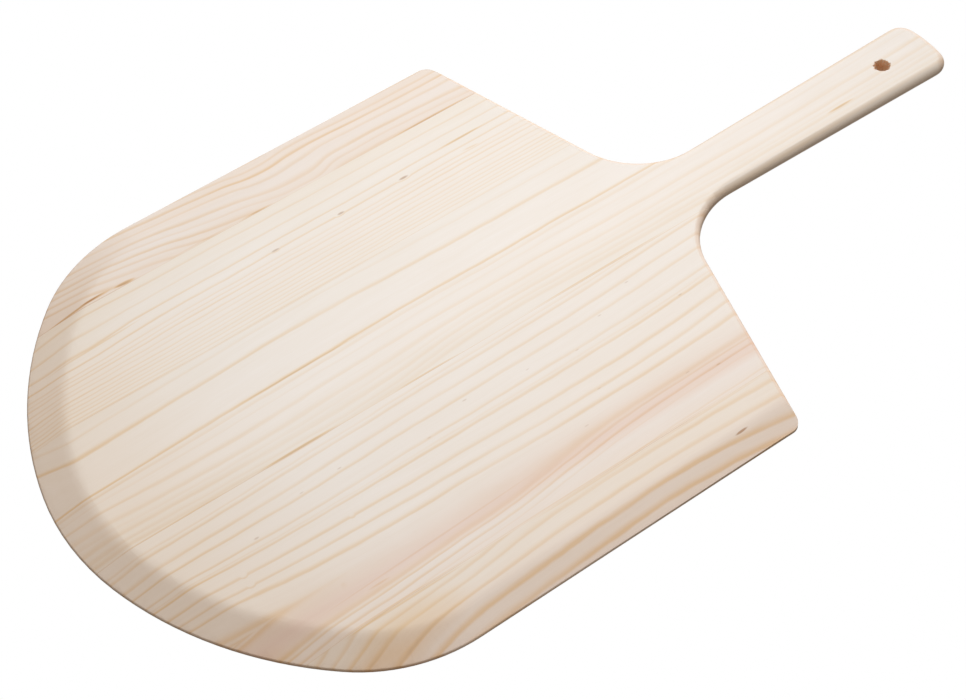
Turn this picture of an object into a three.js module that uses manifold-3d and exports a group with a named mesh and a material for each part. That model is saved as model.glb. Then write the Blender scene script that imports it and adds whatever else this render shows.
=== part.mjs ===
// A wooden pizza peel: a flat paddle with a bevelled nose and sides and a short rounded handle, cut from one
// softwood board that is edge-glued from five strips. Each strip and each film of glue is a mesh of its own.
//
// Millimetres. The underside is at Z = 0, the nose points to -Y, the handle to +Y, and the origin is the
// middle of the bounding box's bottom face. The outline mirrors across X = 0, and the strips don't.

import * as THREE from "three";
import { mergeVertices } from "three/addons/utils/BufferGeometryUtils.js";
import Module from "manifold-3d";

const wasm = await Module();
wasm.setup();

// Driving dimensions of the whole board: 14 by 24 inches, and 3/8 inch thick.
const INCH = 25.4;
const LENGTH = 24 * INCH;
const WIDTH = 14 * INCH;
const THICKNESS = (3 / 8) * INCH;

// Outline of the blade. Distances along the board are measured from the tip of the nose.
const NOSE_TIP_RADIUS = 160;
const NOSE_TIP_HALF_ANGLE = THREE.MathUtils.degToRad(13.3);
const NOSE_RADIUS = 226.5;
const NOSE_CORNER_RADIUS = 100;
const SHOULDER_FROM_NOSE = 354.7;
const SHOULDER_HALF_WIDTH = WIDTH / 2 - 1.5;
const SHOULDER_CORNER_RADIUS = 7.5;
const SHOULDER_HEADING = THREE.MathUtils.degToRad(164.4);
const NECK_RADIUS = 48.9;

// Outline of the handle, which widens a little towards its end.
const HANDLE_FROM_NOSE = 390;
const HANDLE_HALF_WIDTH_AT_NECK = 19.2;
const HANDLE_HALF_WIDTH_AT_END = 22.6;
const HANDLE_END_RADIUS = 83;
const HANDLE_CORNER_RADIUS = 11.3;
const HOLE_RADIUS = (3 / 16) * INCH;
const HOLE_FROM_NOSE = 571.6;

// Edges. The nose and both sides are bevelled above and below to a thin edge at mid-thickness, with a soft
// crease where each bevel starts. The shoulders keep the board's full thickness and are only eased, and the
// handle's sides are fully rounded.
const EDGE_HEIGHT = 2;
const EDGE_MIDDLE = 4.8;
const BEVEL_AT_NOSE = 21;
const BEVEL_AT_SIDE = 17;
const CREASE_HALF_WIDTH = 3;
const SHOULDER_EDGE_RADIUS = 3;

// The strips, left to right, and the glue films between them, all parallel to the handle.
const GLUE_THICKNESS = 0.25;
const GLUE_JOINTS = [
  { name: "glue_line_far_left", x: -136 },
  { name: "glue_line_left", x: -65.5 },
  { name: "glue_line_right", x: 24 },
  { name: "glue_line_far_right", x: 138 },
];
const STAVES = [
  { name: "stave_far_left", colour: 0xe6d2bc },
  { name: "stave_left", colour: 0xecdcc8 },
  { name: "stave_handle", colour: 0xefe1d0 },
  { name: "stave_right", colour: 0xebd9c6 },
  { name: "stave_far_right", colour: 0xe2cab0 },
];
const GLUE_COLOUR = 0xc89a63;

// How far a cutting solid runs past what it cuts, and the least gap between two surfaces that nearly meet.
const CUT_MARGIN = 20;
const CLEARANCE = 0.02;

// Points per arc, enough to keep each chord within about a tenth of a millimetre of its arc.
const NOSE_STEPS = 16;
const CORNER_STEPS = 14;
const SMALL_STEPS = 4;
const NECK_STEPS = 16;
const END_STEPS = 8;
const HOLE_STEPS = 48;

// Round stretches of an edge's cross-section.
const CREASE_STEPS = 4;
const ROUND_STEPS = 6;

const point = (x, y) => new THREE.Vector2(x, y);

const along = (start, heading, distance) =>
  point(start.x + distance * Math.cos(heading), start.y + distance * Math.sin(heading));

// Points on an arc about a centre, from one angle to another, both ends included.
function arc(centre, radius, from, to, steps) {
  return Array.from({ length: steps + 1 }, (_, i) =>
    along(centre, from + ((to - from) * i) / steps, radius),
  );
}

// Where two lines meet, each given by a point and a heading.
function meet(a, headingA, b, headingB) {
  const across = Math.sin(headingB - headingA);
  const distance =
    ((b.x - a.x) * Math.sin(headingB) - (b.y - a.y) * Math.cos(headingB)) / across;
  return along(a, headingA, distance);
}

// A round corner at a vertex where the outline turns from one heading to the next.
function roundCorner(vertex, headingIn, headingOut, radius, steps) {
  const side = Math.sign(headingOut - headingIn);
  const reach = radius * Math.tan(Math.abs(headingOut - headingIn) / 2);
  const start = along(vertex, headingIn, -reach);
  const centre = along(start, headingIn + (side * Math.PI) / 2, radius);
  const from = headingIn - (side * Math.PI) / 2;
  return arc(centre, radius, from, from + headingOut - headingIn, steps);
}

const inwards = (start, heading, distance) => along(start, heading + Math.PI / 2, distance);

// The right half of the blade's front outline, from the tip of the nose to the start of the straight side,
// moved inwards, and the side's line: a point on it and its heading.
function noseAndSide(noseInset, sideInset) {
  const down = -Math.PI / 2;
  const tipCentre = point(0, NOSE_TIP_RADIUS);
  const tipEnd = down + NOSE_TIP_HALF_ANGLE;
  const noseCentre = along(tipCentre, tipEnd + Math.PI, NOSE_RADIUS - NOSE_TIP_RADIUS);

  const cornerX = WIDTH / 2 - NOSE_CORNER_RADIUS;
  const cornerDrop = Math.sqrt(
    (NOSE_RADIUS - NOSE_CORNER_RADIUS) ** 2 - (cornerX - noseCentre.x) ** 2,
  );
  const cornerCentre = point(cornerX, noseCentre.y - cornerDrop);
  const cornerStart = Math.atan2(-cornerDrop, cornerX - noseCentre.x);
  const shoulder = point(SHOULDER_HALF_WIDTH, SHOULDER_FROM_NOSE);
  const sideHeading = Math.atan2(shoulder.y - cornerCentre.y, shoulder.x - WIDTH / 2);

  // The inset changes evenly round the corner, so that the two meet without a step.
  const corner = arc(cornerCentre, NOSE_CORNER_RADIUS, cornerStart, sideHeading + down, CORNER_STEPS);
  corner.forEach((place, i) => {
    const inset = THREE.MathUtils.lerp(noseInset, sideInset, i / CORNER_STEPS);
    place.lerp(cornerCentre, inset / NOSE_CORNER_RADIUS);
  });
  const points = [
    ...arc(tipCentre, NOSE_TIP_RADIUS - noseInset, down, tipEnd, SMALL_STEPS),
    ...arc(noseCentre, NOSE_RADIUS - noseInset, tipEnd, cornerStart, NOSE_STEPS).slice(1),
    ...corner.slice(1),
  ];
  return { points, side: inwards(shoulder, sideHeading, sideInset), sideHeading };
}

// The right half of the whole outline, from the tip of the nose to the middle of the handle's end, moved
// inwards by one distance round the blade and another round the handle. Every inset gives the same number
// of points, and `handleShare` says how far each point is from the blade's edge shape to the handle's.
function rightHalf(bladeInset, handleInset) {
  const blade = noseAndSide(bladeInset - CLEARANCE, bladeInset - CLEARANCE);
  const outerShoulder = point(SHOULDER_HALF_WIDTH, SHOULDER_FROM_NOSE);
  const shoulder = inwards(outerShoulder, SHOULDER_HEADING, bladeInset);

  const neck = point(HANDLE_HALF_WIDTH_AT_NECK, HANDLE_FROM_NOSE);
  const handleHeading = Math.atan2(
    LENGTH - HANDLE_FROM_NOSE,
    HANDLE_HALF_WIDTH_AT_END - HANDLE_HALF_WIDTH_AT_NECK,
  );
  const handle = inwards(neck, handleHeading, handleInset);

  const endRadius = HANDLE_END_RADIUS - handleInset;
  const endCornerRadius = HANDLE_CORNER_RADIUS - handleInset;
  const endCentre = point(0, LENGTH - HANDLE_END_RADIUS);
  const cornerLine = inwards(handle, handleHeading, endCornerRadius);
  const offset = point(cornerLine.x - endCentre.x, cornerLine.y - endCentre.y);
  const forward = offset.x * Math.cos(handleHeading) + offset.y * Math.sin(handleHeading);
  const reach = Math.sqrt(forward ** 2 - offset.lengthSq() + (endRadius - endCornerRadius) ** 2);
  const endCorner = along(cornerLine, handleHeading, reach - forward);
  const endAngle = Math.atan2(endCorner.y - endCentre.y, endCorner.x - endCentre.x);

  const shoulderCorner = roundCorner(
    meet(blade.side, blade.sideHeading, shoulder, SHOULDER_HEADING),
    blade.sideHeading,
    SHOULDER_HEADING,
    SHOULDER_CORNER_RADIUS - bladeInset,
    CORNER_STEPS,
  );
  const neckArc = roundCorner(
    meet(shoulder, SHOULDER_HEADING, handle, handleHeading),
    SHOULDER_HEADING,
    handleHeading,
    NECK_RADIUS + (bladeInset + handleInset) / 2,
    NECK_STEPS,
  );
  const end = [
    ...arc(endCorner, endCornerRadius, handleHeading - Math.PI / 2, endAngle, END_STEPS),
    ...arc(endCentre, endRadius, endAngle, Math.PI / 2, END_STEPS).slice(1),
  ];
  const front = [...blade.points, ...shoulderCorner];
  const neckShare = neckArc.map((_, i) => THREE.MathUtils.smoothstep(i, 0, NECK_STEPS));
  return {
    points: [...front, ...neckArc, ...end],
    handleShare: [...front.map(() => 0), ...neckShare, ...end.map(() => 1)],
  };
}

// Mirrors a right half, which starts and ends on the centre line, into one closed loop.
function loopOf(points, heightAt) {
  const right = points.map((p, i) => new THREE.Vector3(p.x, p.y - LENGTH / 2, heightAt(i)));
  right[0].x = 0;
  right[right.length - 1].x = 0;
  const left = right
    .slice(1, -1)
    .reverse()
    .map((p) => new THREE.Vector3(-p.x, p.y, p.z));
  return [...right, ...left];
}

// A closed body from loops stacked from the top down, with a flat face on the first and the last.
function stack(loops) {
  const count = loops[0].length;
  const faces = [];
  for (let level = 0; level + 1 < loops.length; level++) {
    for (let i = 0; i < count; i++) {
      const next = (i + 1) % count;
      const [a, b] = [level * count + i, level * count + next];
      const [c, d] = [a + count, b + count];
      faces.push([a, c, d], [a, d, b]);
    }
  }
  const flatFace = (level, flip) => {
    const outline = loops[level].map((p) => point(p.x, p.y));
    for (const [a, b, c] of THREE.ShapeUtils.triangulateShape(outline, [])) {
      const triangle = flip ? [a, c, b] : [a, b, c];
      faces.push(triangle.map((i) => level * count + i));
    }
  };
  flatFace(0, false);
  flatFace(loops.length - 1, true);
  const geometry = new THREE.BufferGeometry().setFromPoints(loops.flat());
  geometry.setIndex(faces.flat());
  return geometry;
}

// The sawn board before it is bevelled: full thickness everywhere, with eased or rounded edges.
function blankGeometry() {
  const angles = Array.from(
    { length: ROUND_STEPS + 1 },
    (_, i) => (Math.PI / 2) * (1 - i / (ROUND_STEPS + 0.5)),
  );
  const halfThickness = THICKNESS / 2;
  const loopAt = (angle, face) => {
    const inset = (radius) => radius * (1 - Math.cos(angle));
    const rise = (radius) => halfThickness + face * (halfThickness - radius * (1 - Math.sin(angle)));
    const { points, handleShare } = rightHalf(inset(SHOULDER_EDGE_RADIUS), inset(halfThickness));
    return loopOf(points, (i) =>
      THREE.MathUtils.lerp(rise(SHOULDER_EDGE_RADIUS), rise(halfThickness), handleShare[i]),
    );
  };
  return stack([
    ...angles.map((angle) => loopAt(angle, 1)),
    ...angles.toReversed().map((angle) => loopAt(angle, -1)),
  ]);
}

// How far one side of the blade has fallen at a share of the bevel's width, 1 being the crease's middle:
// straight on the bevel, flat past the crease, and a parabola between.
function bevelFall(share, softness) {
  if (share <= 1 - softness) return 1 - share;
  if (share >= 1 + softness) return 0;
  return (1 + softness - share) ** 2 / (4 * softness);
}

// What the bevels leave of the board: the nose and sides taper to a thin edge, and the sides run on past
// the handle's end, so that nothing but the nose and sides is cut.
function bevelGeometry() {
  const softness = CREASE_HALF_WIDTH / BEVEL_AT_SIDE;
  const crease = Array.from(
    { length: CREASE_STEPS + 1 },
    (_, i) => 1 + softness - (2 * softness * i) / CREASE_STEPS,
  );
  const shares = [...crease, 0];
  const loopAt = (share, face) => {
    const { points, side, sideHeading } = noseAndSide(BEVEL_AT_NOSE * share, BEVEL_AT_SIDE * share);
    const back = point(0, LENGTH + CUT_MARGIN);
    const sideEnd = meet(side, sideHeading, back, 0);
    const flat = face > 0 ? THICKNESS + CLEARANCE / 2 : -CLEARANCE / 2;
    const edge = EDGE_MIDDLE + (face * EDGE_HEIGHT) / 2;
    const height = THREE.MathUtils.lerp(flat, edge, bevelFall(share, softness));
    return loopOf([...points, sideEnd, back], () => height);
  };
  return stack([
    ...shares.map((share) => loopAt(share, 1)),
    ...shares.toReversed().map((share) => loopAt(share, -1)),
  ]);
}

// A closed geometry as a solid that can be joined and cut.
function solidOf(geometry) {
  const bare = geometry.clone();
  bare.deleteAttribute("normal");
  bare.deleteAttribute("uv");
  const merged = mergeVertices(bare, 1e-4);
  const index = merged.index.array;
  const triangles = [];
  for (let i = 0; i < index.length; i += 3) {
    const [a, b, c] = index.subarray(i, i + 3);
    if (a !== b && b !== c && c !== a) triangles.push(a, b, c);
  }
  return new wasm.Manifold(
    new wasm.Mesh({
      numProp: 3,
      vertProperties: merged.attributes.position.array,
      triVerts: new Uint32Array(triangles),
    }),
  );
}

// The hanging hole's bore, run past both faces.
function holeSolid() {
  const bore = new THREE.CylinderGeometry(
    HOLE_RADIUS,
    HOLE_RADIUS,
    THICKNESS + 2 * CUT_MARGIN,
    HOLE_STEPS,
  );
  bore.rotateX(Math.PI / 2);
  bore.translate(0, HOLE_FROM_NOSE - LENGTH / 2, THICKNESS / 2);
  return solidOf(bore);
}

// The slab between two planes parallel to the handle, larger than the board every other way.
function slabSolid(fromX, toX) {
  const slab = new THREE.BoxGeometry(
    toX - fromX,
    LENGTH + 2 * CUT_MARGIN,
    THICKNESS + 2 * CUT_MARGIN,
  );
  slab.translate((fromX + toX) / 2, 0, THICKNESS / 2);
  return solidOf(slab);
}

function meshOf(solid, name, material) {
  const { vertProperties, triVerts } = solid.getMesh();
  const geometry = new THREE.BufferGeometry();
  geometry.setAttribute("position", new THREE.BufferAttribute(vertProperties, 3));
  geometry.setIndex(new THREE.BufferAttribute(triVerts, 1));
  geometry.computeVertexNormals();
  const mesh = new THREE.Mesh(geometry, material);
  mesh.name = name;
  return mesh;
}

function woodMaterial(colour) {
  return new THREE.MeshStandardMaterial({ color: colour, roughness: 0.6, metalness: 0 });
}

function glueMaterial() {
  return new THREE.MeshStandardMaterial({ color: GLUE_COLOUR, roughness: 0.45, metalness: 0 });
}

const peel = new THREE.Group();
const board = solidOf(blankGeometry()).intersect(solidOf(bevelGeometry())).subtract(holeSolid());

STAVES.forEach(({ name, colour }, i) => {
  const before = GLUE_JOINTS[i - 1];
  const after = GLUE_JOINTS[i];
  const fromX = before ? before.x + GLUE_THICKNESS / 2 : -WIDTH / 2 - CUT_MARGIN;
  const toX = after ? after.x - GLUE_THICKNESS / 2 : WIDTH / 2 + CUT_MARGIN;
  peel.add(meshOf(board.intersect(slabSolid(fromX, toX)), name, woodMaterial(colour)));
});

GLUE_JOINTS.forEach(({ name, x }) => {
  const film = board.intersect(slabSolid(x - GLUE_THICKNESS / 2, x + GLUE_THICKNESS / 2));
  peel.add(meshOf(film, name, glueMaterial()));
});

export default peel;
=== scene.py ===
"""The looks of a wooden pizza peel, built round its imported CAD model.

Every strip of the edge-glued board and every glue film replaces its CAD node with a finer mesh and a
procedural wood or glue material. Grain is described in millimetres: `across` is X, `along` is the distance
from the tip of the nose, and `depth` is the distance below the top face.
"""

import math
import random
from collections import namedtuple

import bmesh
import bpy
from mathutils import Matrix, Vector, noise


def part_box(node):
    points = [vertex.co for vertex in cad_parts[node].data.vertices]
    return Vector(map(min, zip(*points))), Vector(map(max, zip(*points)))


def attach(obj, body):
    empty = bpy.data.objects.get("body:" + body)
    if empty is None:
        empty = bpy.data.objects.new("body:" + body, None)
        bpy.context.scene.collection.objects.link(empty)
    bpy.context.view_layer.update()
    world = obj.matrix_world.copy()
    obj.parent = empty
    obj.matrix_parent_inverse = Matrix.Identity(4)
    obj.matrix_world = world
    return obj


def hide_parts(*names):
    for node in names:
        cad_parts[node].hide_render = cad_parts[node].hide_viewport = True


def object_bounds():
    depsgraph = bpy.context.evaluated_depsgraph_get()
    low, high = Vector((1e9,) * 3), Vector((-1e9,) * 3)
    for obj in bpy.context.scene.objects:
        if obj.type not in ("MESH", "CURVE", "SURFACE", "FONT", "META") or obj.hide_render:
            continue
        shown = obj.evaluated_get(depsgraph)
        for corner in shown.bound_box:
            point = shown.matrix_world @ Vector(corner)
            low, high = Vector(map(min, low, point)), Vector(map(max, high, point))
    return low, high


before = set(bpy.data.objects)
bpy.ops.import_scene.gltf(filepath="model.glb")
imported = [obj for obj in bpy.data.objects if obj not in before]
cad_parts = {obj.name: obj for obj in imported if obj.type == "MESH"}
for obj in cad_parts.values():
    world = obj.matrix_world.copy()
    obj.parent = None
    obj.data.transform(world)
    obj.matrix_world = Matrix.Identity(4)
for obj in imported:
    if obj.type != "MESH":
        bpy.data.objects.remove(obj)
CAD_LOW, CAD_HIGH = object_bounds()

MM = 0.001
NOSE_Y = CAD_LOW.y
LENGTH = CAD_HIGH.y - CAD_LOW.y
THICKNESS = CAD_HIGH.z - CAD_LOW.z
STAVES = ["stave_far_left", "stave_left", "stave_handle", "stave_right", "stave_far_right"]
GLUE_LINES = ["glue_line_far_left", "glue_line_left", "glue_line_right", "glue_line_far_right"]

# The hanging hole, on the board's centre line.
HOLE_RADIUS = 4.7625 * MM
HOLE_CENTRE = Vector((0, NOSE_Y + 571.6 * MM, 0))

# Mesh detail.
GRID_ACROSS = 5 * MM
GRID_ALONG = 8 * MM
RIM_ROUND = 0.95 * MM
SANDING_DEPTH = 0.12 * MM
SANDING_SIZE = 34 * MM
SHARP_ANGLE = math.radians(35)
WELD = 1e-6
FLAT_ANGLE = math.radians(0.2)
HOLE_MARGIN = 0.1 * MM
HOLE_CHAMFER = 0.3 * MM
HOLE_LEVELS = 9
FIBRE_COUNT = 46
FIBRE_STEPS = 3
# Where the thin edge of the blade's sides ends, at the shoulder corners.
RIM_END_Y = NOSE_Y + 349.5 * MM

# How much light the top face gets, which turns a colour as it looks into the colour of the wood.
LIGHT_LEVEL = 1.16

CAMERA_AIM = Vector((0.0265, -0.0539, THICKNESS / 2))
CAMERA_AZIMUTH = math.radians(57.03)
CAMERA_ELEVATION = math.radians(50.91)
CAMERA_ROLL = math.radians(-4.03)
CAMERA_DISTANCE = 1.3396
CAMERA_LENS = 89.36

BACK_LIGHT_PLACE = (-0.8, 1.55, 0.6)
BACK_LIGHT_ENERGY = 2.5
BACK_LIGHT_ANGLE = math.radians(40)
TOP_LIGHT_PLACE = (-0.08, 0.1, 0.75)
TOP_LIGHT_AIM = (-0.05, 0.08, 0)
TOP_LIGHT_ENERGY = 3.5
TOP_LIGHT_SIZE = 0.5
# The room's light, as its height between straight down at 0 and straight up at 1, and its colour there.
ROOM_BELOW = (0.42, (0.29, 0.25, 0.21, 1))
ROOM_ABOVE = (0.78, (0.3, 0.3, 0.3, 1))
FLOOR_HALF_SIZE = 6
FLOOR_GAP = 0.2 * MM


# Wood

# The grain's drift at one place across a strip: `tilt` is how far a growth line moves across per
# millimetre of depth, and `drift` lists (along, how far the line has moved across).
Station = namedtuple("Station", "across tilt drift")
# One growth line, where it would be without drift. A negative width puts its sharp side on the left.
Line = namedtuple("Line", "across width strength")
# A spot or streak: a knot, a speck, or a stretch where a line is darker. `lean` is how far its middle
# moves across per millimetre along. As a kink, its strength is how far it pushes the growth lines, in mm.
Spot = namedtuple("Spot", "across along half_width half_length strength lean", defaults=[0.0])
# A strip's wood, with its own colours across it as (across, red, green, blue).
Grain = namedtuple("Grain", "tones stations lines spots kinks", defaults=[()])

FAR_LEFT_GRAIN = Grain(
    tones=[(-170, 244, 231, 220), (-150, 245, 233, 223), (-138, 243, 228, 215)],
    stations=[
        Station(-168, 0.7, [
            (60, -30), (140, -13), (200, -5), (225, 0), (250, -3), (300, -0.5), (360, 0),
        ]),
        Station(-142, 0.7, [
            (60, -38), (110, -25), (140, -19), (170, -10), (200, -4.5), (245, 2), (270, -3), (360, 0),
        ]),
    ],
    lines=[
        Line(-179, 2.2, 0.55), Line(-170.5, 2.0, 0.45), Line(-162.8, 2.1, 0.85), Line(-155.2, 1.8, 0.45),
        Line(-145.6, 2.1, 0.6), Line(-139.5, 1.5, 0.35), Line(-133, 2.0, 0.6), Line(-127, 1.7, 0.5),
        Line(-120, 2.0, 0.6), Line(-113, 1.8, 0.5),
    ],
    spots=[
        Spot(-137, 80, 1.1, 26, 1.6, -0.09), Spot(-138.4, 97, 1.2, 12, 1.3),
        Spot(-137.6, 116, 1.5, 8, 1.3, 0.05), Spot(-137, 170, 0.9, 30, 0.35),
        Spot(-136.7, 205, 0.9, 14, 0.8), Spot(-136.6, 333, 0.9, 36, 1.0),
    ],
)
LEFT_GRAIN = Grain(
    tones=[(-134, 245, 234, 221), (-115, 246, 237, 227), (-95, 247, 237, 227), (-68, 246, 236, 225)],
    stations=[
        Station(-130, 0.7, [(30, -2.5), (200, 0), (360, 1.5)]),
        Station(-103, 0.3, [(30, 2), (60, 4), (120, 1), (200, 0), (370, -1)]),
        Station(-85, 0.0, [(30, 1), (200, 0), (370, 0)]),
    ],
    lines=[
        Line(-128.6, 1.1, 0.45), Line(-119.4, 1.1, 0.45), Line(-110.8, 1.1, 0.6), Line(-104, 1.1, 0.75),
        Line(-98.5, 0.9, 0.4), Line(-95.4, 0.8, 0.4), Line(-92.4, 0.9, 0.5), Line(-88.3, 0.8, 0.45),
        Line(-85.2, 0.7, 0.35), Line(-81.7, 0.8, 0.5), Line(-78.9, 0.7, 0.4), Line(-76.2, 0.7, 0.4),
        Line(-73.6, 0.7, 0.35), Line(-71.2, 0.7, 0.45), Line(-68.6, 0.7, 0.4),
    ],
    spots=[
        Spot(-104.6, 198, 0.9, 3.5, 0.9), Spot(-105, 244, 1.0, 3.0, 1.0), Spot(-105.4, 289, 1.1, 4.0, 1.1),
        Spot(-101, 335, 0.8, 7, 0.6, 0.06), Spot(-111.4, 335, 1.0, 18, 0.8),
        Spot(-107, 78, 0.9, 38, 0.7, -0.05), Spot(-66.1, 70, 0.7, 60, 0.6),
        Spot(-66.1, 190, 0.7, 70, 0.4), Spot(-66.1, 330, 0.6, 60, 0.3),
    ],
    kinks=[Spot(-105, 198, 3, 4, 1.4), Spot(-105, 243, 3, 4, 1.2), Spot(-105, 289, 3, 6, 1.3)],
)
HANDLE_GRAIN = Grain(
    tones=[(-64, 245, 236, 226), (-35, 246, 237, 228), (0, 246, 236, 226), (22, 243, 233, 222)],
    stations=[
        Station(-45, -1.7, [(30, 0), (80, -1.5), (120, -3), (190, -4), (260, -2.5), (320, -1), (380, 0)]),
        Station(-20, 0.0, [(30, 4), (75, 2.5), (150, 1), (215, -0.5), (300, 0), (610, 0)]),
        Station(-4, 0.0, [
            (25, -1), (60, 1), (110, 1.5), (160, 0), (270, -2), (340, -0.5), (400, 1.5), (610, 0),
        ]),
        Station(18, 0.0, [
            (25, 3), (75, 4), (130, 5.5), (160, 5.5), (200, 4), (240, 0), (270, -1.5), (370, 0), (610, 0),
        ]),
    ],
    lines=[
        Line(-57, 1.3, 0.22), Line(-44.3, 1.9, 0.6), Line(-22.5, 1.3, 0.9), Line(-18.9, 1.8, 0.3),
        Line(-13.5, 1.4, 0.14), Line(-4.6, 1.9, 0.36), Line(3, 1.9, 0.3), Line(7, 1.4, 0.14),
        Line(10.7, 1.9, 0.3), Line(15, 1.6, 0.22), Line(18.6, 2.2, 0.32),
    ],
    spots=[
        Spot(-22, 165, 0.8, 60, 0.4), Spot(10.2, 529, 1.1, 12, 1.1), Spot(23.3, 130, 1.0, 30, 1.1),
        Spot(23.6, 50, 0.6, 50, 0.8), Spot(23.5, 215, 0.7, 26, 0.9), Spot(23.2, 335, 0.8, 60, 0.8),
        Spot(-64.9, 150, 0.6, 130, 0.35),
    ],
)
RIGHT_GRAIN = Grain(
    tones=[
        (26, 244, 234, 224), (55, 243, 233, 223), (92, 243, 232, 221), (104, 241, 228, 216),
        (112, 238, 219, 204), (118, 237, 214, 200), (122, 239, 218, 204), (128, 242, 230, 220),
        (136, 241, 226, 213),
    ],
    stations=[
        Station(45, 0.2, [(30, 4), (100, 3.5), (200, 1), (300, 0), (370, -2.5)]),
        Station(88, 0.2, [(40, -12.5), (65, -9), (100, -5.5), (200, -1.5), (300, 0), (370, -3.5)]),
        Station(106, 0.2, [(50, -8), (100, -3), (200, -1), (300, 0), (370, 0)]),
        Station(118, 0.3, [
            (60, 15), (100, 14.3), (150, 12), (200, 9.2), (240, 5), (280, 1), (300, 0), (360, -1),
        ]),
    ],
    lines=[
        Line(27, 1.1, 0.3), Line(30.2, 1.4, 0.45), Line(39.6, 1.6, 0.5), Line(48.6, 1.7, 0.55),
        Line(61.8, 1.5, 0.5), Line(66.3, 1.0, 0.25), Line(69, 1.6, 0.75), Line(81, 1.8, 0.6),
        Line(90.4, 1.7, 0.55), Line(98.2, 1.8, 0.65), Line(111.8, 2.6, 0.5), Line(114.7, 1.1, 0.6),
        Line(119.3, 1.2, 0.65), Line(123.5, 0.9, 0.25), Line(136.4, 0.8, 0.35),
    ],
    spots=[
        Spot(50, 315, 0.5, 1.6, 0.5), Spot(40, 342, 0.5, 1.8, 0.5), Spot(52, 220, 0.6, 2.0, 0.5),
        Spot(56, 260, 0.5, 1.5, 0.4), Spot(61, 190, 0.5, 1.8, 0.4), Spot(62, 290, 0.5, 1.6, 0.4),
        Spot(66, 360, 0.6, 1.8, 0.5), Spot(91, 283, 0.5, 1.8, 0.4), Spot(107, 262, 0.5, 2.0, 0.4),
        Spot(112, 328, 0.5, 1.8, 0.4), Spot(118, 345, 0.6, 2.0, 0.5), Spot(48, 140, 0.6, 1.8, 0.5),
        Spot(59, 80, 0.8, 2.0, 0.6), Spot(49, 115, 0.5, 1.6, 0.4), Spot(117.5, 150, 0.8, 85, 0.45, -0.039),
        Spot(128, 38, 12, 26, 0.3), Spot(122, 115, 0.8, 8, 0.6), Spot(24.4, 130, 0.6, 26, 0.6),
        Spot(137.3, 120, 0.7, 50, 0.6), Spot(137.2, 250, 0.7, 110, 0.5),
    ],
    kinks=[
        Spot(74, 62, 4, 2.6, 2.0), Spot(82, 62, 4, 2.6, 1.5), Spot(112, 100, 3, 2.6, -2.5),
        Spot(78, 128, 3, 2, 1.0),
    ],
)
FAR_RIGHT_GRAIN = Grain(
    tones=[(140, 240, 226, 211), (150, 240, 226, 211), (160, 238, 221, 206), (176, 236, 217, 201)],
    stations=[
        Station(143, 2.0, [(60, 14), (110, 9.5), (150, 7), (200, 1.5), (260, 0), (360, 2)]),
        Station(164, 1.5, [(60, 14), (120, 7), (150, 4), (200, 1.5), (260, 0), (300, 0.5), (355, 4)]),
    ],
    lines=[
        Line(121, 1.5, 0.5), Line(128, 1.6, 0.55), Line(135.2, 1.7, 0.55), Line(142.3, 2.0, 0.55),
        Line(152, 1.9, 0.65), Line(161.4, 1.7, 1.0), Line(167.8, 1.7, 1.0), Line(175, 1.7, 0.9),
        Line(183, 1.7, 0.9), Line(191, 1.7, 0.8),
    ],
    spots=[
        Spot(161, 325.5, 0.9, 5.2, 1.6, -0.06), Spot(154, 112, 16, 44, 0.5), Spot(139, 120, 1.0, 45, 0.8),
        Spot(166, 84, 14, 38, 0.35), Spot(143, 33, 4.5, 11, 0.8, 0.3), Spot(138.9, 240, 1.0, 45, 0.5),
        Spot(138.9, 320, 0.9, 50, 0.4),
    ],
)
GRAINS = dict(zip(STAVES, [FAR_LEFT_GRAIN, LEFT_GRAIN, HANDLE_GRAIN, RIGHT_GRAIN, FAR_RIGHT_GRAIN]))
SLOTS = dict(zip(STAVES, ["wood_far_left", "wood_left", "wood_handle", "wood_right", "wood_far_right"]))

# What a full-strength growth line and a knot do to the wood's red, green and blue.
LINE_TINT = (0.93, 0.775, 0.565)
KNOT_TINT = (0.62, 0.46, 0.34)
KNOT_STRENGTH = 0.75
# How much of the wood's paleness, from one fibre to the next, reaches its red, green and blue.
PALENESS_SHARES = (0.6, 1.0, 1.7)
# Painted shade: towards the nose the wood is painted darker and warmer, standing in for the light falling off
# there, and its lines are stronger; both fade out over this stretch.
NOSE_PAINTED_SHADE = (0.965, 0.905, 0.835)
NOSE_FADE_ALONG = (10, 150)
NOSE_LINES = 1.45
# Where a face looks along the board it cuts the fibres across and is darker, partly for that end grain and
# partly as painted shade of the nose bevel, which leans away from the back light; where it looks sideways it
# is warmer.
END_GRAIN_AND_SHADE_TINT = (0.86, 0.785, 0.73)
END_GRAIN_AND_SHADE_FACING = (0.0, 0.3)
SIDE_TINT = (0.95, 0.87, 0.78)

# Sizes of noise patterns, as (across, along) or (across, along, depth) in mm, and how strongly they act.
LONG_WAVE_SIZE = (26, 75)
LONG_WAVE = 1.1
SHORT_WAVE_SIZE = (7, 16)
SHORT_WAVE = 0.5
TONE_WANDER_SIZE = (20, 70)
TONE_WANDER_SEED = 5.0
TONE_WANDER = 2.0
LINE_FADE_SIZE = (9, 90)
LINE_FADE = (0.55, 1.45)
FIBRE_SIZE = (0.55, 26, 0.8)
FIBRE_PALENESS = 0.036
BAND_SIZE = (3.5, 60)
BAND_SEED = 7.0
BAND_PALENESS = 0.03
CANAL_SIZE = (0.5, 4.5, 2)
CANAL_NOISE = (0.52, 0.8)
CANAL_STRENGTH = 0.3
CLOUD_SIZE = (30, 55)
CLOUD_SEED = 3.0
CLOUD_PALENESS = 0.02
TORN_SIZE = (0.7, 0.9, 0.6)
GLUE_PATCH_LENGTH = 9
GLUE_PATCHES = 4.0

# A growth line's rise and fall, in line widths, and how steeply it darkens.
LINE_RISE = 2.2
LINE_FALL = 0.7
LINE_STEEPNESS = 2.2
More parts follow.
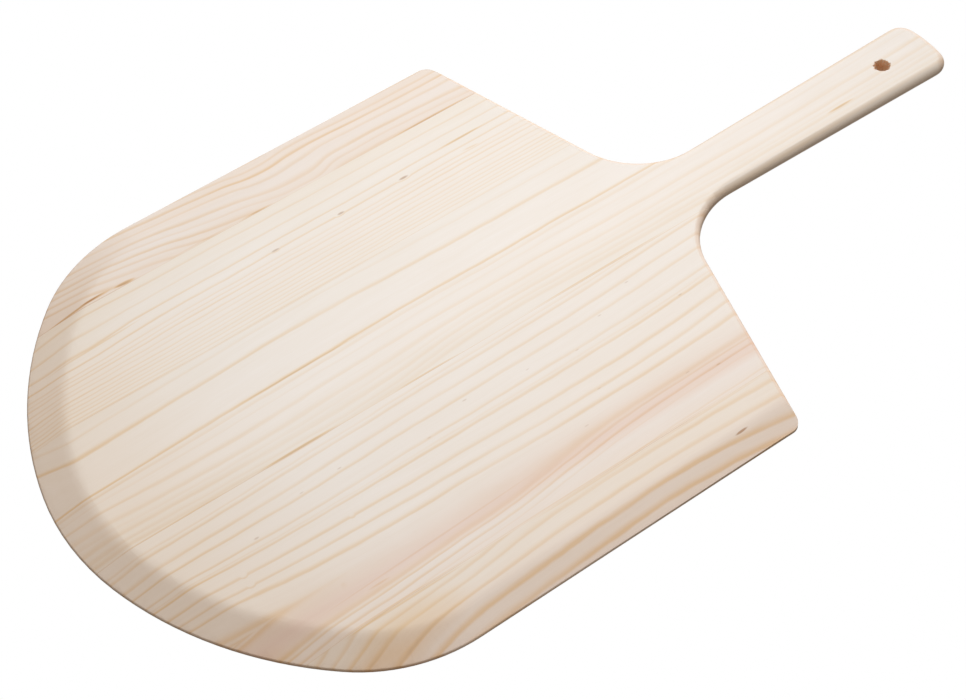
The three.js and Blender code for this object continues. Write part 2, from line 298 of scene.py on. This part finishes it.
# Spots with a smaller half length than this are knots and specks, and the rest are streaks.
STREAK_HALF_LENGTH = 6

# Surface finish.
WOOD_ROUGHNESS = 0.62
FIBRE_ROUGHNESS = 0.05
LINE_GLOSS = -0.08
WOOD_SPECULAR = 0.35
LINE_RELIEF = 0.35
FIBRE_RELIEF = 0.5
DRILLED_ROUGHNESS = 0.85
DRILLED_SPECULAR = 0.2
GLUE_ROUGHNESS = 0.45
GLUE_ROUGHNESS_SPREAD = 0.06
TORN_FIBRE_ROUGHNESS = 0.8

# A curve can hold values from minus half of this to plus half of it.
CURVE_RANGE = 80


def linear(channel):
    """One 8-bit display channel as a linear value."""
    share = channel / 255
    return share / 12.92 if share <= 0.04045 else ((share + 0.055) / 1.055) ** 2.4


def wood_colour(red, green, blue):
    """The wood's own colour where it looks like this one on the lit top face."""
    return (*(linear(c) / LIGHT_LEVEL for c in (red, green, blue)), 1)


class Shader:
    """Short calls for the nodes of one material. A value is a number, a tuple or a node's output."""

    def __init__(self, name):
        self.material = bpy.data.materials.new(name)
        self.material.use_nodes = True
        self.tree = self.material.node_tree
        self.bsdf = self.tree.nodes["Principled BSDF"]

    def put(self, value, socket):
        if isinstance(value, bpy.types.NodeSocket):
            self.tree.links.new(value, socket)
        else:
            socket.default_value = value

    def node(self, kind, *values, **settings):
        made = self.tree.nodes.new(kind)
        for key, value in settings.items():
            setattr(made, key, value)
        for socket, value in zip(made.inputs, values):
            self.put(value, socket)
        return made

    def math(self, operation, *values, clamp=False):
        return self.node("ShaderNodeMath", *values, operation=operation, use_clamp=clamp).outputs[0]

    def remap(self, value, low, high, to_low=0.0, to_high=1.0, smooth=False):
        kind = "SMOOTHSTEP" if smooth else "LINEAR"
        made = self.node("ShaderNodeMapRange", value, low, high, to_low, to_high, interpolation_type=kind)
        return made.outputs[0]

    def mix(self, factor, a, b, blend="MIX"):
        made = self.node("ShaderNodeMix", data_type="RGBA", blend_type=blend)
        for value, socket in ((factor, made.inputs[0]), (a, made.inputs[6]), (b, made.inputs[7])):
            self.put(value, socket)
        return made.outputs[2]

    def point(self, x, y, z=0.0):
        return self.node("ShaderNodeCombineXYZ", x, y, z).outputs[0]

    def noise(self, vector, detail=2.0, roughness=0.5):
        """Noise of about one feature per unit, between -1 and 1."""
        made = self.node("ShaderNodeTexNoise")
        self.put(vector, made.inputs["Vector"])
        self.put(1.0, made.inputs["Scale"])
        self.put(detail, made.inputs["Detail"])
        self.put(roughness, made.inputs["Roughness"])
        return self.math("MULTIPLY_ADD", made.outputs["Fac"], 2.0, -1.0)

    def curve(self, value, points):
        """A smooth curve through (along, shift) points, flat beyond its ends."""
        made = self.node("ShaderNodeFloatCurve", 1.0, value)
        line = made.mapping.curves[0]
        span = LENGTH / MM
        places = [(along / span, 0.5 + shift / CURVE_RANGE) for along, shift in points]
        line.points[0].location = places[0]
        line.points[1].location = places[-1]
        for place in places[1:-1]:
            line.points.new(*place)
        made.mapping.update()
        return self.math("MULTIPLY_ADD", made.outputs[0], CURVE_RANGE, -CURVE_RANGE / 2)

    def bump(self, height, strength, distance):
        """Gives the surface fine relief, as deep as `distance` for each unit of height."""
        made = self.node("ShaderNodeBump")
        self.put(strength, made.inputs["Strength"])
        self.put(distance, made.inputs["Distance"])
        self.put(height, made.inputs["Height"])
        self.put(made.outputs[0], self.bsdf.inputs["Normal"])

    def ramp(self, value, stops):
        """A colour ramp through (place, colour) stops, with places between 0 and 1."""
        made = self.node("ShaderNodeValToRGB", value)
        elements = made.color_ramp.elements
        elements[0].position, elements[0].color = stops[0]
        elements[1].position, elements[1].color = stops[-1]
        for place, colour in stops[1:-1]:
            elements.new(place).color = colour
        return made.outputs[0]


def board_place(shader):
    """Across, along and depth in millimetres, and the surface's normal."""
    coordinates = shader.node("ShaderNodeTexCoord")
    place = shader.node("ShaderNodeSeparateXYZ", coordinates.outputs["Object"])
    across = shader.math("MULTIPLY", place.outputs[0], 1 / MM)
    along = shader.math("MULTIPLY_ADD", place.outputs[1], 1 / MM, -NOSE_Y / MM)
    depth = shader.math("MULTIPLY_ADD", place.outputs[2], -1 / MM, THICKNESS / MM)
    return across, along, depth, coordinates.outputs["Normal"]


def patch_place(shader, across, along, size, seed=0.0):
    """A place in a pattern whose features are `size` millimetres big."""
    return shader.point(
        shader.math("MULTIPLY", across, 1 / size[0]), shader.math("MULTIPLY", along, 1 / size[1]), seed
    )


def grain_place(shader, across, along, depth, size):
    """The same, for a pattern that also changes with depth."""
    return patch_place(shader, across, along, size, shader.math("MULTIPLY", depth, 1 / size[2]))


def blend_stations(shader, across, stations, values):
    """One value at each station, blended in straight lines between the stations."""
    blended = values[0]
    for before, after, value in zip(stations, stations[1:], values[1:]):
        share = shader.remap(across, before.across, after.across)
        kept = shader.math("MULTIPLY", blended, shader.math("SUBTRACT", 1.0, share))
        blended = shader.math("MULTIPLY_ADD", value, share, kept)
    return blended


def ring_place(shader, across, along, depth, stations, kinks):
    """Where a point lies across the growth lines, once their drift, tilt and wander are taken off."""
    share = shader.math("DIVIDE", along, LENGTH / MM)
    drift = blend_stations(shader, across, stations, [shader.curve(share, s.drift) for s in stations])
    tilt = blend_stations(shader, across, stations, [s.tilt for s in stations])
    shift = shader.math("MULTIPLY_ADD", tilt, depth, drift)
    long_wave = shader.noise(patch_place(shader, across, along, LONG_WAVE_SIZE), detail=1.0)
    short_wave = shader.noise(patch_place(shader, across, along, SHORT_WAVE_SIZE), detail=2.0)
    shift = shader.math("MULTIPLY_ADD", long_wave, LONG_WAVE, shift)
    shift = shader.math("MULTIPLY_ADD", short_wave, SHORT_WAVE, shift)
    for kink in kinks:
        shift = shader.math("ADD", shift, spot_amount(shader, across, along, kink))
    return shader.math("SUBTRACT", across, shift)


def growth_line(shader, ring, line):
    """How dark one growth line makes a point: a slow rise, and a sharp fall on the late-wood side."""
    place = shader.math("DIVIDE", shader.math("SUBTRACT", ring, line.across), line.width)
    rise = shader.remap(place, -LINE_RISE, 0.0, smooth=True)
    fall = shader.remap(place, 0.0, LINE_FALL, 1.0, 0.0, smooth=True)
    body = shader.math("MULTIPLY", shader.math("POWER", rise, LINE_STEEPNESS), fall)
    return shader.math("MULTIPLY", body, line.strength)


def spot_amount(shader, across, along, spot):
    """How much one spot does at a point, falling off smoothly to its rim."""
    middle = shader.math("MULTIPLY_ADD", along, spot.lean, spot.across - spot.lean * spot.along)
    dx = shader.math("DIVIDE", shader.math("SUBTRACT", across, middle), spot.half_width)
    dy = shader.math("DIVIDE", shader.math("SUBTRACT", along, spot.along), spot.half_length)
    away = shader.math("MULTIPLY_ADD", dx, dx, shader.math("MULTIPLY", dy, dy))
    near = shader.remap(away, 0.0, 1.0, 1.0, 0.0, smooth=True)
    return shader.math("MULTIPLY", near, spot.strength)


def total(shader, amounts):
    summed = amounts[0]
    for amount in amounts[1:]:
        summed = shader.math("ADD", summed, amount)
    return summed


def wood_material(name, grain):
    shader = Shader(name)
    across, along, depth, normal = board_place(shader)
    ring = ring_place(shader, across, along, depth, grain.stations, grain.kinks)

    low, high = grain.tones[0][0], grain.tones[-1][0]
    tones = [((at - low) / (high - low), wood_colour(*rgb)) for at, *rgb in grain.tones]
    wander_place = patch_place(shader, across, along, TONE_WANDER_SIZE, TONE_WANDER_SEED)
    tone_place = shader.math("MULTIPLY_ADD", shader.noise(wander_place), TONE_WANDER, across)
    colour = shader.ramp(shader.remap(tone_place, low, high), tones)

    # Growth lines, darker here and fainter there along their length.
    fade_place = patch_place(shader, ring, along, LINE_FADE_SIZE)
    fade = shader.remap(shader.noise(fade_place, detail=3.0), -0.6, 0.6, *LINE_FADE)
    fade = shader.math("MULTIPLY", fade, shader.remap(along, *NOSE_FADE_ALONG, NOSE_LINES, 1.0, smooth=True))
    lines = total(shader, [growth_line(shader, ring, line) for line in grain.lines])
    lines = shader.math("MINIMUM", shader.math("MULTIPLY", lines, fade), 1.0)
    small = [s for s in grain.spots if s.half_length < STREAK_HALF_LENGTH]
    streaks = [s for s in grain.spots if s.half_length >= STREAK_HALF_LENGTH]
    streaked = total(shader, [spot_amount(shader, across, along, s) for s in streaks])
    lines = shader.math("ADD", lines, streaked)
    colour = shader.mix(lines, colour, (*LINE_TINT, 1), "MULTIPLY")
    brown = shader.math("MAXIMUM", shader.math("SUBTRACT", lines, 1.0), 0.0)
    brown = total(shader, [brown, *(spot_amount(shader, across, along, s) for s in small)])
    browned = shader.math("MULTIPLY", brown, KNOT_STRENGTH)
    colour = shader.mix(browned, colour, (*KNOT_TINT, 1), "MULTIPLY")

    # Fibres: fine streaks, and short brown dashes of resin canals.
    fibre = shader.noise(grain_place(shader, ring, along, depth, FIBRE_SIZE), detail=4.0, roughness=0.6)
    band = shader.noise(patch_place(shader, ring, along, BAND_SIZE, BAND_SEED), detail=2.0)
    canals = shader.noise(grain_place(shader, ring, along, depth, CANAL_SIZE), detail=1.0)
    canals = shader.remap(canals, *CANAL_NOISE, 0.0, CANAL_STRENGTH, smooth=True)
    cloud = shader.noise(patch_place(shader, across, along, CLOUD_SIZE, CLOUD_SEED), detail=2.0)
    paleness = shader.math("MULTIPLY", fibre, FIBRE_PALENESS)
    paleness = shader.math("MULTIPLY_ADD", band, BAND_PALENESS, paleness)
    paleness = shader.math("MULTIPLY_ADD", cloud, CLOUD_PALENESS, paleness)
    shades = [shader.math("MULTIPLY_ADD", paleness, share, 1.0) for share in PALENESS_SHARES]
    colour = shader.mix(1.0, colour, shader.point(*shades), "MULTIPLY")
    colour = shader.mix(canals, colour, (*LINE_TINT, 1), "MULTIPLY")

    # Painted shade towards the nose, darker and warmer there for the light falling off, and darker where the
    # fibres are cut across, partly for that end grain and partly as painted shade of the bevel.
    # Painted shade: the wood is darkened and warmed towards the nose, for the light falling off there.
    nose = shader.remap(along, *NOSE_FADE_ALONG, 1.0, 0.0, smooth=True)
    colour = shader.mix(nose, colour, (*NOSE_PAINTED_SHADE, 1), "MULTIPLY")
    facing = shader.node("ShaderNodeSeparateXYZ", normal)
    side = shader.math("ABSOLUTE", facing.outputs[0])
    end = shader.math("ABSOLUTE", facing.outputs[1])
    colour = shader.mix(side, colour, (*SIDE_TINT, 1), "MULTIPLY")
    # Partly painted shade: faces that look along the board, such as the nose bevel, are darkened as if
    # shaded, and partly for their cut fibres.
    cut = shader.remap(end, *END_GRAIN_AND_SHADE_FACING)
    colour = shader.mix(cut, colour, (*END_GRAIN_AND_SHADE_TINT, 1), "MULTIPLY")
    shader.put(colour, shader.bsdf.inputs["Base Color"])

    rough = shader.math("MULTIPLY_ADD", fibre, FIBRE_ROUGHNESS, WOOD_ROUGHNESS)
    rough = shader.math("MULTIPLY_ADD", lines, LINE_GLOSS, rough)
    shader.put(rough, shader.bsdf.inputs["Roughness"])
    shader.put(WOOD_SPECULAR, shader.bsdf.inputs["Specular IOR Level"])
    relief = shader.math("MULTIPLY_ADD", lines, LINE_RELIEF, shader.math("MULTIPLY", fibre, FIBRE_RELIEF))
    shader.bump(relief, strength=0.35, distance=0.05 * MM)
    return shader.material


def drilled_material():
    """The hole's wall: torn and browned by the drill."""
    shader = Shader("drilled_wood")
    across, along, depth, _ = board_place(shader)
    torn = shader.noise(grain_place(shader, across, along, depth, TORN_SIZE), detail=4.0, roughness=0.65)
    colour = shader.ramp(shader.remap(torn, -0.7, 0.8), [
        (0.0, wood_colour(226, 150, 104)), (0.35, wood_colour(255, 196, 150)),
        (0.6, wood_colour(255, 222, 184)), (1.0, wood_colour(255, 246, 228)),
    ])
    shader.put(colour, shader.bsdf.inputs["Base Color"])
    shader.put(DRILLED_ROUGHNESS, shader.bsdf.inputs["Roughness"])
    shader.put(DRILLED_SPECULAR, shader.bsdf.inputs["Specular IOR Level"])
    shader.bump(torn, strength=0.6, distance=0.2 * MM)
    return shader.material


def glue_material(name, strong):
    """Set wood glue: amber, darker where `strong` says that more of it was left, as (along, strength)."""
    shader = Shader(name)
    across, along, depth, _ = board_place(shader)
    share = shader.math("DIVIDE", along, LENGTH / MM)
    amount = shader.curve(share, strong)
    place = shader.point(across, shader.math("MULTIPLY", along, 1 / GLUE_PATCH_LENGTH), depth)
    patches = shader.noise(place, detail=3.0)
    amount = shader.math("MULTIPLY_ADD", patches, GLUE_PATCHES, amount)
    colour = shader.ramp(shader.remap(amount, 0, FULL_GLUE), [
        (0.0, wood_colour(242, 228, 210)), (0.5, wood_colour(234, 208, 176)),
        (1.0, wood_colour(206, 160, 118)),
    ])
    shader.put(colour, shader.bsdf.inputs["Base Color"])
    rough = shader.math("MULTIPLY_ADD", patches, GLUE_ROUGHNESS_SPREAD, GLUE_ROUGHNESS)
    shader.put(rough, shader.bsdf.inputs["Roughness"])
    return shader.material


# Glue strength along each joint, as (along, strength), from 0 to FULL_GLUE.
FULL_GLUE = 30
GLUE_STRENGTHS = {
    "glue_line_far_left": [
        (40, 26), (100, 28), (130, 14), (150, 10), (205, 18), (240, 4), (290, 4), (330, 26), (370, 24),
    ],
    "glue_line_left": [(10, 20), (60, 18), (130, 14), (200, 16), (300, 9), (380, 8)],
    "glue_line_right": [
        (10, 22), (70, 20), (135, 26), (180, 12), (220, 20), (270, 8), (330, 18), (380, 14),
    ],
    "glue_line_far_right": [(60, 20), (130, 22), (200, 10), (290, 24), (330, 14), (370, 22)],
}


# Meshes

def joint_planes():
    """The X of both faces of every glue film, where the strips are cut and stay sharp."""
    return [corner.x for name in GLUE_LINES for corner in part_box(name)]


def on_joint(face, planes):
    """Whether a face lies flat against a glue joint."""
    return any(all(abs(v.co.x - x) < 0.01 * MM for v in face.verts) for x in planes)


def hole_distance(place):
    return math.hypot(place.x - HOLE_CENTRE.x, place.y - HOLE_CENTRE.y)


def near_hole(face):
    """Whether a face is part of the hanging hole's wall."""
    return all(hole_distance(v.co) < HOLE_RADIUS + HOLE_MARGIN for v in face.verts)


def round_rim(bm, planes):
    """Rounds the board's thin edge, which was sanded by hand."""
    rim = [
        e for e in bm.edges
        if e.is_manifold and e.calc_face_angle() > SHARP_ANGLE
        and all(v.co.y < RIM_END_Y for v in e.verts)
        and not any(on_joint(f, planes) for f in e.link_faces)
    ]
    bmesh.ops.bevel(bm, geom=rim, offset=RIM_ROUND, segments=3, profile=0.5, affect="EDGES")


def cut_grid(bm):
    """Cuts the big flat faces into an even grid."""
    ways = (
        (0, CAD_LOW.x, CAD_HIGH.x, GRID_ACROSS),
        (1, CAD_LOW.y, CAD_HIGH.y, GRID_ALONG),
    )
    for axis, low, high, step in ways:
        normal = Vector((axis == 0, axis == 1, 0))
        reach = [v.co[axis] for v in bm.verts]
        for i in range(1, int((high - low) / step)):
            place = low + i * step
            if min(reach) + 0.2 * step < place < max(reach) - 0.2 * step:
                everything = bm.verts[:] + bm.edges[:] + bm.faces[:]
                bmesh.ops.bisect_plane(
                    bm, geom=everything, dist=WELD, plane_co=normal * place, plane_no=normal
                )


def sand(bm):
    """Lets the bevels wander a little in depth, always into the wood."""
    middle = THICKNESS / 2
    for v in bm.verts:
        from_face = min(v.co.z, THICKNESS - v.co.z)
        sunk = min(from_face / (0.4 * MM), 1)
        on_rim = abs(v.co.z - middle) < 1.7 * MM
        if sunk and not on_rim and hole_distance(v.co) > 3 * HOLE_RADIUS:
            wave = 0.5 + 0.5 * noise.noise(v.co / SANDING_SIZE)
            v.co.z -= math.copysign(SANDING_DEPTH * sunk * wave, v.co.z - middle)


def tear_hole(bm):
    """Gives the hanging hole a rough wall and a rim that has chipped along the fibres."""
    rims = [
        e for e in bm.edges
        if all(hole_distance(v.co) < HOLE_RADIUS + HOLE_MARGIN for v in e.verts)
        and abs(e.verts[0].co.z - e.verts[1].co.z) < HOLE_MARGIN
    ]
    bmesh.ops.bevel(bm, geom=rims, offset=HOLE_CHAMFER, segments=2, profile=0.6, affect="EDGES")
    for level in range(1, HOLE_LEVELS):
        wall = [f for f in bm.faces if near_hole(f)]
        edges = {e for f in wall for e in f.edges}
        verts = {v for f in wall for v in f.verts}
        height = Vector((0, 0, THICKNESS * level / HOLE_LEVELS))
        bmesh.ops.bisect_plane(
            bm, geom=[*verts, *edges, *wall], dist=WELD, plane_co=height, plane_no=Vector((0, 0, 1))
        )
    for v in bm.verts:
        radius = hole_distance(v.co)
        if radius > HOLE_RADIUS + 0.45 * MM:
            continue
        out = (v.co - HOLE_CENTRE).to_2d() / radius
        rim = max(0.0, 1 - (THICKNESS - v.co.z) / (1.5 * MM))
        chip = noise.noise(Vector((out.x * 2.6, out.y * 2.6, v.co.z / (2.2 * MM))))
        fray = noise.noise(Vector((out.x * 7.5, out.y * 7.5, v.co.z / (0.9 * MM) + 9)))
        frayed = rim * (0.7 * max(chip, 0) + 0.6 * max(fray, 0)) * (0.5 + abs(out.y))
        push = (0.55 * chip + 0.45 * fray + frayed) * MM
        v.co.x += out.x * push
        v.co.y += out.y * push


def finish_mesh(bm, name, materials):
    """Turns a finished bmesh into a piece, smooth but for its sharp edges."""
    for face in bm.faces:
        face.smooth = True
    for edge in bm.edges:
        edge.smooth = not (edge.is_manifold and edge.calc_face_angle() > SHARP_ANGLE)
    mesh = bpy.data.meshes.new(name)
    bm.to_mesh(mesh)
    bm.free()
    for material in materials:
        mesh.materials.append(material)
    piece = bpy.data.objects.new(name, mesh)
    bpy.context.scene.collection.objects.link(piece)
    return piece


def board_mesh(node, planes):
    bm = bmesh.new()
    bm.from_mesh(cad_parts[node].data)
    bmesh.ops.remove_doubles(bm, verts=bm.verts, dist=WELD)
    bmesh.ops.dissolve_limit(bm, angle_limit=FLAT_ANGLE, verts=bm.verts, edges=bm.edges)
    round_rim(bm, planes)
    cut_grid(bm)
    sand(bm)
    return bm


def weigh_normals(piece):
    """Keeps the flat faces flat where they meet the soft creases."""
    weighted = piece.modifiers.new("weighted_normals", "WEIGHTED_NORMAL")
    weighted.weight = 60
    weighted.keep_sharp = True


def make_stave(node, planes):
    bm = board_mesh(node, planes)
    materials = [wood_material(SLOTS[node], GRAINS[node])]
    if node == "stave_handle":
        tear_hole(bm)
        materials.append(drilled_material())
        for face in bm.faces:
            centre = face.calc_center_median()
            inside = hole_distance(centre) < HOLE_RADIUS + 0.5 * MM
            face.material_index = int(inside and centre.z < THICKNESS - 0.12 * MM and centre.z > 0.12 * MM)
    piece = finish_mesh(bm, node + "_wood", materials)
    weigh_normals(piece)
    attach(piece, "root")
    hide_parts(node)


def make_glue(node, planes):
    materials = [glue_material(node, GLUE_STRENGTHS[node])]
    piece = finish_mesh(board_mesh(node, planes), node + "_film", materials)
    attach(piece, "root")
    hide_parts(node)


def add_fibre(bm, root, tip, radius):
    """A torn fibre: a bent three-sided sliver from its root to its tip."""
    sag = Vector((0, 0, -0.15 * (tip - root).length))
    direction = (tip - root).normalized()
    side = direction.cross(Vector((0, 0, 1))).normalized()
    up = side.cross(direction)
    rings = []
    for i in range(FIBRE_STEPS):
        share = i / FIBRE_STEPS
        middle = root.lerp(tip, share) + sag * math.sin(math.pi * share)
        size = radius * (1 - 0.7 * share)
        rings.append([
            bm.verts.new(middle + size * (side * math.cos(a) + up * math.sin(a)))
            for a in (math.pi / 2, math.pi * 7 / 6, math.pi * 11 / 6)
        ])
    end = bm.verts.new(tip)
    bm.faces.new(rings[0])
    for here, there in zip(rings, rings[1:]):
        for i in range(3):
            j = (i + 1) % 3
            bm.faces.new([here[i], there[i], there[j], here[j]])
    for i in range(3):
        bm.faces.new([rings[-1][i], end, rings[-1][(i + 1) % 3]])


def make_fibres():
    """Pale fibres that the drill left standing round the hole's rim and in its wall."""
    chance = random.Random(7)
    bm = bmesh.new()
    for _ in range(FIBRE_COUNT):
        angle = chance.choice((0.5, 1.5)) * math.pi + chance.gauss(0, 0.75)
        height = THICKNESS - abs(chance.gauss(0.25, 1.4)) * MM
        height = min(max(height, 0.8 * MM), THICKNESS - 0.25 * MM)
        out = Vector((math.cos(angle), math.sin(angle), 0))
        root = HOLE_CENTRE + out * (HOLE_RADIUS + 0.25 * MM) + Vector((0, 0, height))
        reach = chance.uniform(0.8, 2.4) * MM
        lean = Vector((chance.uniform(-0.4, 0.4), -math.copysign(1, out.y) * 0.8, chance.uniform(-0.5, 0.05)))
        add_fibre(bm, root, root + (lean - 0.5 * out).normalized() * reach, chance.uniform(0.1, 0.24) * MM)
    bmesh.ops.recalc_face_normals(bm, faces=bm.faces)
    shader = Shader("torn_fibre")
    across, along, depth, _ = board_place(shader)
    place = shader.point(shader.math("MULTIPLY", across, 3.0), shader.math("MULTIPLY", along, 1.0), depth)
    tone = shader.remap(shader.noise(place, detail=2.0), -0.6, 0.6)
    colour = shader.mix(tone, wood_colour(214, 176, 140), wood_colour(246, 232, 214))
    shader.put(colour, shader.bsdf.inputs["Base Color"])
    shader.put(TORN_FIBRE_ROUGHNESS, shader.bsdf.inputs["Roughness"])
    piece = finish_mesh(bm, "hole_fibres", [shader.material])
    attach(piece, "root")


# Studio

def make_floor():
    bm = bmesh.new()
    bmesh.ops.create_grid(bm, x_segments=2, y_segments=2, size=FLOOR_HALF_SIZE)
    shader = Shader("floor")
    shader.put((0, 0, 0, 1), shader.bsdf.inputs["Base Color"])
    shader.put(1.0, shader.bsdf.inputs["Roughness"])
    shader.put(0.0, shader.bsdf.inputs["Specular IOR Level"])
    shader.put((1, 1, 1, 1), shader.bsdf.inputs["Emission Color"])
    shader.put(1.0, shader.bsdf.inputs["Emission Strength"])
    floor = finish_mesh(bm, "floor", [shader.material])
    floor.location.z = CAD_LOW.z - FLOOR_GAP
    floor.visible_diffuse = False
    floor.visible_glossy = False
    floor.visible_shadow = False


def add_light(name, kind, place, aim, energy, **settings):
    light = bpy.data.lights.new(name, kind)
    light.energy = energy
    for key, value in settings.items():
        setattr(light, key, value)
    made = bpy.data.objects.new(name, light)
    made.location = place
    made.rotation_euler = (Vector(place) - Vector(aim)).to_track_quat("Z", "Y").to_euler()
    bpy.context.scene.collection.objects.link(made)


def make_lights():
    """A low soft light behind the handle, one overhead, and a pale room that is darker below."""
    add_light("back_light", "SUN", BACK_LIGHT_PLACE, (0, 0, 0), BACK_LIGHT_ENERGY, angle=BACK_LIGHT_ANGLE)
    add_light(
        "top_light", "AREA", TOP_LIGHT_PLACE, TOP_LIGHT_AIM, TOP_LIGHT_ENERGY,
        shape="DISK", size=TOP_LIGHT_SIZE
    )
    world = bpy.data.worlds.new("room")
    bpy.context.scene.world = world
    world.use_nodes = True
    tree = world.node_tree
    coordinates = tree.nodes.new("ShaderNodeTexCoord")
    split = tree.nodes.new("ShaderNodeSeparateXYZ")
    ramp = tree.nodes.new("ShaderNodeValToRGB")
    place = tree.nodes.new("ShaderNodeMapRange")
    tree.links.new(coordinates.outputs["Generated"], split.inputs[0])
    tree.links.new(split.outputs[2], place.inputs[0])
    place.inputs[1].default_value = -1.0
    tree.links.new(place.outputs[0], ramp.inputs[0])
    elements = ramp.color_ramp.elements
    elements[0].position, elements[0].color = ROOM_BELOW
    elements[1].position, elements[1].color = ROOM_ABOVE
    tree.links.new(ramp.outputs[0], tree.nodes["Background"].inputs[0])


def make_camera():
    back = Vector((
        math.sin(CAMERA_AZIMUTH) * math.cos(CAMERA_ELEVATION),
        -math.cos(CAMERA_AZIMUTH) * math.cos(CAMERA_ELEVATION),
        math.sin(CAMERA_ELEVATION),
    ))
    lens = bpy.data.cameras.new("camera")
    lens.lens = CAMERA_LENS
    camera = bpy.data.objects.new("camera", lens)
    turn = back.to_track_quat("Z", "Y").to_matrix().to_4x4() @ Matrix.Rotation(CAMERA_ROLL, 4, "Z")
    camera.matrix_world = Matrix.Translation(CAMERA_AIM + back * CAMERA_DISTANCE) @ turn
    bpy.context.scene.collection.objects.link(camera)
    bpy.context.scene.camera = camera


make_camera()
make_lights()
make_floor()
PLANES = joint_planes()
for stave in STAVES:
    make_stave(stave, PLANES)
for glue_line in GLUE_LINES:
    make_glue(glue_line, PLANES)
make_fibres()
bpy.context.scene.view_settings.view_transform = "Standard"
